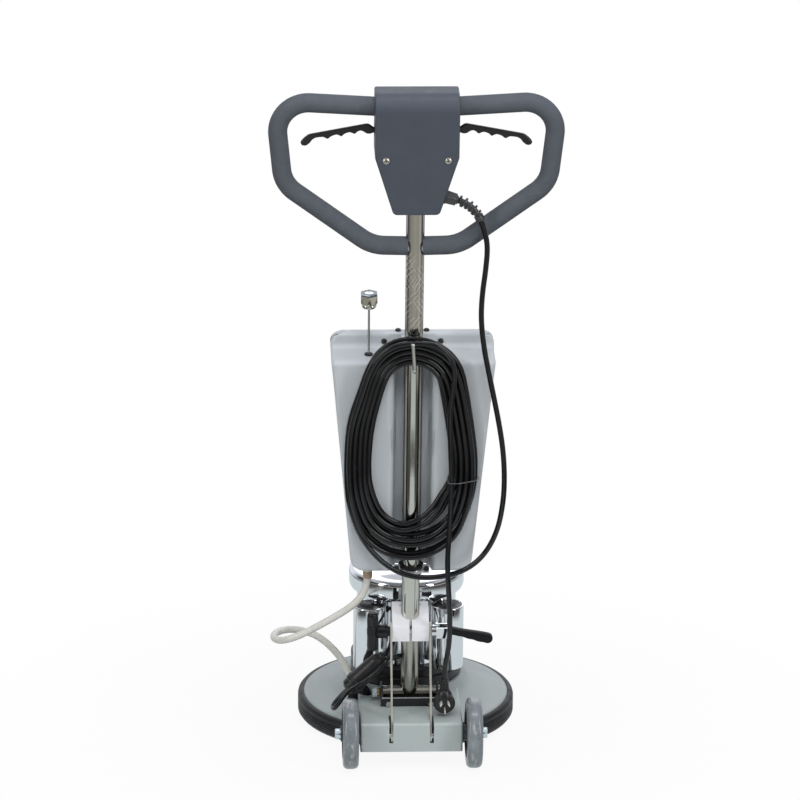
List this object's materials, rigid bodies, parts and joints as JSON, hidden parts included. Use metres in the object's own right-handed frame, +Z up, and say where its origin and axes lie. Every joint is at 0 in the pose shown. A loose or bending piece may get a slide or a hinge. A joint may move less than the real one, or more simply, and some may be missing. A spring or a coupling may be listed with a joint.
{
  "type": "floor polisher",
  "caption": "Single-disc floor polisher with a round base, upright motor, tilting handle with loop grips, water tank, transport wheels and a coiled mains cord.",
  "frame": {"origin": "on the floor at the disc's axis, centre of the pad's underside", "axes": "+Z up along the disc's axis, +Y to the front, -Y to the operator, +X to the operator's right"},
  "size_m": [0.5073, 0.5137, 1.2578],
  "materials": {
    "grey_paint": "satin",
    "black_paint": "satin",
    "bumper_rubber": "matte",
    "chrome": "polished",
    "steel": "satin",
    "tube_steel": "polished",
    "zinc": "satin",
    "cast_aluminium": "satin",
    "can_aluminium": "satin",
    "laminated_steel": "matte",
    "black_plastic": "matte",
    "gloss_black": "gloss",
    "slate_plastic": "textured",
    "slate_foam": "matte",
    "tank_plastic": "satin",
    "wheel_rubber": "satin",
    "hub_plastic": "satin",
    "cord_rubber": "semi-gloss",
    "bush_rubber": "matte",
    "brass": "satin",
    "hose_vinyl": "gloss",
    "pad_fibre": "fibrous",
    "brace_steel": "satin"
  },
  "bodies": {
    "chassis": {"base_cover": "grey_paint", "bumper_ring": "bumper_rubber", "gearbox_housing": "black_paint", "motor_body": "chrome", "stator": "laminated_steel", "motor_cap": "chrome", "bearings": "steel", "capacitor_covers": "chrome", "capacitors": "can_aluminium", "wheel_housing": "grey_paint", "wheel_axles": "steel", "pivot_bracket": "black_paint", "pivot_bolt": "zinc", "base_fasteners": "zinc", "hose_inlet": "brass", "lead_connector": "black_plastic", "motor_lead": "cord_rubber", "plug": "gloss_black"},
    "disc": {"planet_carrier": "steel", "pad_driver": "black_plastic", "floor_pad": "pad_fibre"},
    "planet_1": {"planet_gear_1": "steel"},
    "planet_2": {"planet_gear_2": "steel"},
    "planet_3": {"planet_gear_3": "steel"},
    "rotor": {"rotor": "laminated_steel", "cooling_fan": "black_plastic"},
    "left_wheel": {"left_hub": "hub_plastic", "left_tyre": "wheel_rubber"},
    "right_wheel": {"right_hub": "hub_plastic", "right_tyre": "wheel_rubber"},
    "handle": {"handle_post": "tube_steel", "handle_clamp": "cast_aluminium", "clamp_bolt": "chrome", "handle_tube": "tube_steel", "loop_frame": "steel", "grip_left": "slate_foam", "grip_right": "slate_foam", "box_rear_cover": "slate_plastic", "box_front_cover": "slate_plastic", "control_switch": "black_plastic", "tank": "tank_plastic", "tank_hanger": "grey_paint", "tank_bush": "bush_rubber", "tank_ring": "chrome", "outlet_fitting": "brass", "handle_fasteners": "zinc", "cord_hook": "zinc", "cable_gland": "black_plastic", "cord_lead": "cord_rubber", "cord_coil": "cord_rubber", "cord_tail": "cord_rubber", "water_hose": "hose_vinyl", "handle_lead": "cord_rubber"},
    "brace_pair": {"braces": "brace_steel"},
    "lever_l": {"left_lever": "gloss_black"},
    "lever_r": {"right_lever": "gloss_black"},
    "cam": {"cam_lever": "black_plastic"},
    "knob": {"tee_knob": "black_plastic"},
    "valve": {"valve_rod": "chrome"},
    "filler_lid": {"filler_cap": "black_plastic"}
  },
  "joints": [
    {"name": "disc_spin", "type": "hinge", "parent": "chassis", "child": "disc", "pos_m": [0, 0, 0.03], "axis": [0, 0, 1], "continuous": true},
    {"name": "rotor_spin", "type": "hinge", "parent": "chassis", "child": "rotor", "pos_m": [0, 0, 0.19], "axis": [0, 0, 1], "continuous": true},
    {"name": "planet_1_spin", "type": "hinge", "parent": "disc", "child": "planet_1", "pos_m": [0.045, 0, 0.108], "axis": [0, 0, 1], "continuous": true},
    {"name": "planet_2_spin", "type": "hinge", "parent": "disc", "child": "planet_2", "pos_m": [-0.0225, 0.03897, 0.108], "axis": [0, 0, 1], "continuous": true},
    {"name": "planet_3_spin", "type": "hinge", "parent": "disc", "child": "planet_3", "pos_m": [-0.0225, -0.03897, 0.108], "axis": [0, 0, 1], "continuous": true},
    {"name": "left_wheel_spin", "type": "hinge", "parent": "chassis", "child": "left_wheel", "pos_m": [-0.111, -0.247, 0.0635], "axis": [1, 0, 0], "continuous": true},
    {"name": "right_wheel_spin", "type": "hinge", "parent": "chassis", "child": "right_wheel", "pos_m": [0.111, -0.247, 0.0635], "axis": [1, 0, 0], "continuous": true},
    {"name": "handle_tilt", "type": "hinge", "parent": "chassis", "child": "handle", "pos_m": [0, -0.156, 0.107], "axis": [1, 0, 0], "range_deg": [0, 45], "deforming": ["cord_tail", "water_hose", "handle_lead"]},
    {"name": "brace_swing", "type": "hinge", "parent": "chassis", "child": "brace_pair", "pos_m": [0, -0.256, 0.062], "axis": [1, 0, 0], "range_deg": [0, 30]},
    {"name": "left_lever_pull", "type": "hinge", "parent": "handle", "child": "lever_l", "pos_m": [-0.052, -0.26962, 1.18805], "axis": [0, 0.9945, 0.1045], "range_deg": [0, 10], "stiffness_Nm_per_rad": 3, "springref_deg": -8.59},
    {"name": "right_lever_pull", "type": "hinge", "parent": "handle", "child": "lever_r", "pos_m": [0.052, -0.26962, 1.18805], "axis": [0, -0.9945, -0.1045], "range_deg": [0, 10], "stiffness_Nm_per_rad": 3, "springref_deg": -8.59},
    {"name": "cam_lever_swing", "type": "hinge", "parent": "handle", "child": "cam", "pos_m": [0.06, -0.19345, 0.24323], "axis": [0, 0.9945, 0.1045], "range_deg": [-60, 15]},
    {"name": "tee_knob_turn", "type": "hinge", "parent": "handle", "child": "knob", "pos_m": [-0.055, -0.19303, 0.23925], "axis": [1, 0, 0], "continuous": true},
    {"name": "valve_lift", "type": "slide", "parent": "handle", "child": "valve", "axis": [0, -0.1045, 0.9945], "range_m": [0, 0.02]},
    {"name": "filler_cap_lift", "type": "slide", "parent": "handle", "child": "filler_lid", "axis": [0, 0.6293, 0.7771], "range_m": [0, 0.06]}
  ],
  "couplings": [
    {"joint": "rotor_spin", "follows": "disc_spin", "ratio": 8},
    {"joint": "planet_1_spin", "follows": "disc_spin", "ratio": -2.3333},
    {"joint": "planet_2_spin", "follows": "disc_spin", "ratio": -2.3333},
    {"joint": "planet_3_spin", "follows": "disc_spin", "ratio": -2.3333},
    {"joint": "brace_swing", "follows": "handle_tilt", "ratio": 0.64}
  ]
}
